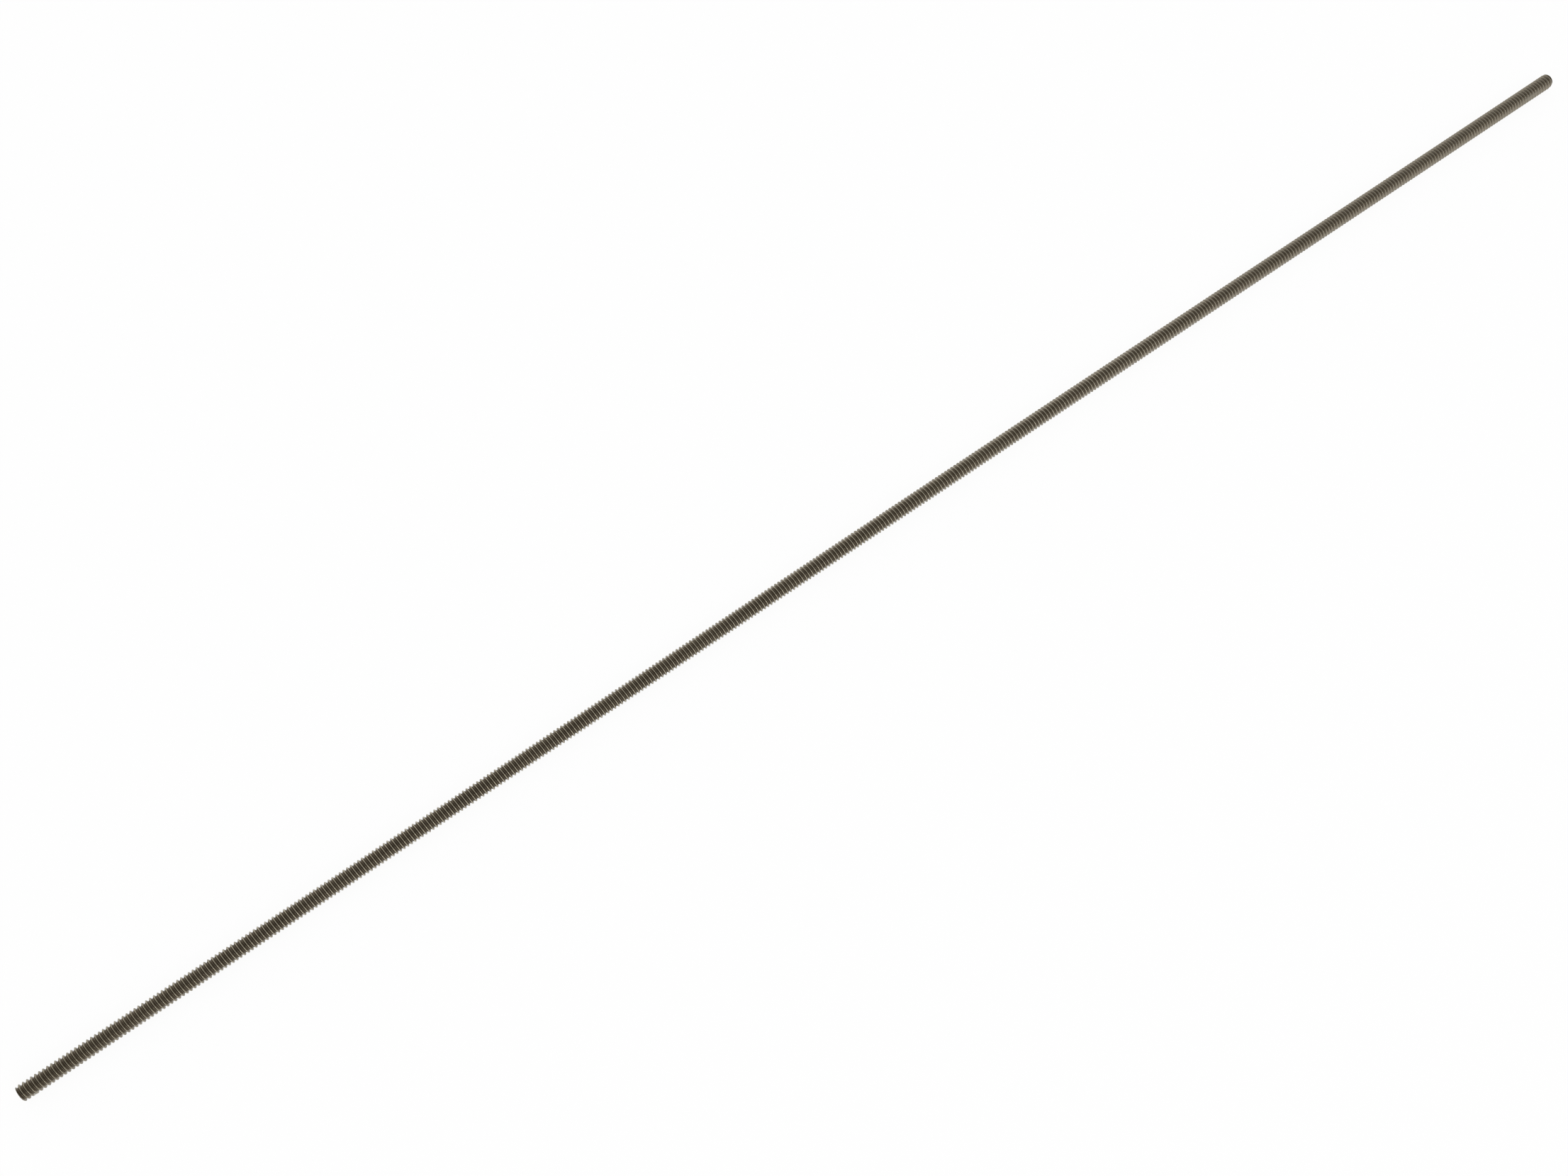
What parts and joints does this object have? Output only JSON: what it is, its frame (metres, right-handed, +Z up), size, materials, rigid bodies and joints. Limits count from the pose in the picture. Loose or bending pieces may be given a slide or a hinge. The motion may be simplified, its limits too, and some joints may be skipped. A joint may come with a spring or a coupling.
{
  "type": "threaded rod",
  "caption": "Straight steel rod with a fine right-hand screw thread along its whole length and a small chamfer at each end, for cutting to length as a stud, tie or lead screw.",
  "frame": {"origin": "on the rod's axis, at the middle of its length", "axes": "+X along the rod's axis, +Z up, across the rod; the rod lies on its side"},
  "size_m": [0.3048, 0.0026, 0.0028],
  "materials": {
    "plain_steel": "plain uncoated steel as rolled, oiled and a little dull, with a film of brown-grey dirt in the grooves and brighter worn crests"
  },
  "bodies": {
    "root": {"threaded_rod": "plain_steel"}
  },
  "joints": []
}
